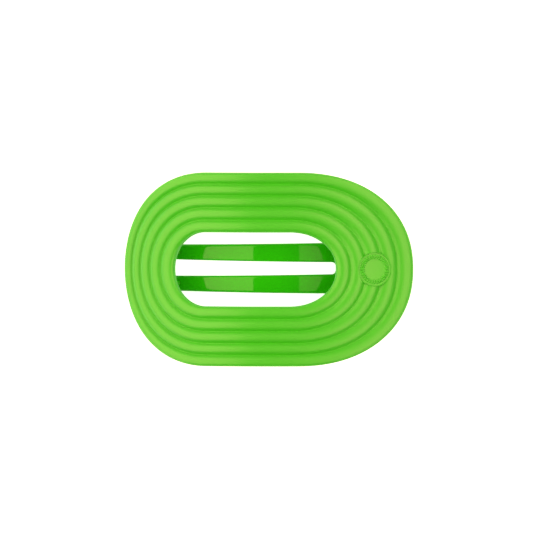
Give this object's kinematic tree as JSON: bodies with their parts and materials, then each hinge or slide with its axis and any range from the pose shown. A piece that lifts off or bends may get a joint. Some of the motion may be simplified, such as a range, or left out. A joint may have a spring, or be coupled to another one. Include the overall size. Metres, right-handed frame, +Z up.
{
  "type": "hair claw clip",
  "caption": "Flat hair claw clip: arched ribbed oval shell, forked lever, steel pin and torsion spring that closes the fork onto the hair.",
  "frame": {"origin": "centre of the outline in plan, on the surface that the closed clip lies on", "axes": "+X along the clip from the fork's tips towards the hinge and thumb tab, +Y across the clip, +Z up out of the ribbed face"},
  "size_m": [0.086, 0.0576, 0.0243],
  "materials": {
    "shell_plastic": "satin moulded plastic, lime green",
    "lever_plastic": "polished moulded plastic, deeper green",
    "pin_steel": "drawn and cut steel pin",
    "spring_steel": "drawn spring wire"
  },
  "bodies": {
    "shell": {"front_shell": "shell_plastic", "hinge_pin": "pin_steel", "torsion_spring": "spring_steel"},
    "lever": {"back_lever": "lever_plastic"}
  },
  "joints": [
    {"name": "clip_hinge", "type": "hinge", "parent": "lever", "child": "shell", "pos_m": [0.026, 0, 0.01374], "axis": [0, 1, 0], "range_deg": [0, 30], "stiffness_Nm_per_rad": 0.12, "springref_deg": -22.92, "deforming": ["torsion_spring"]}
  ]
}
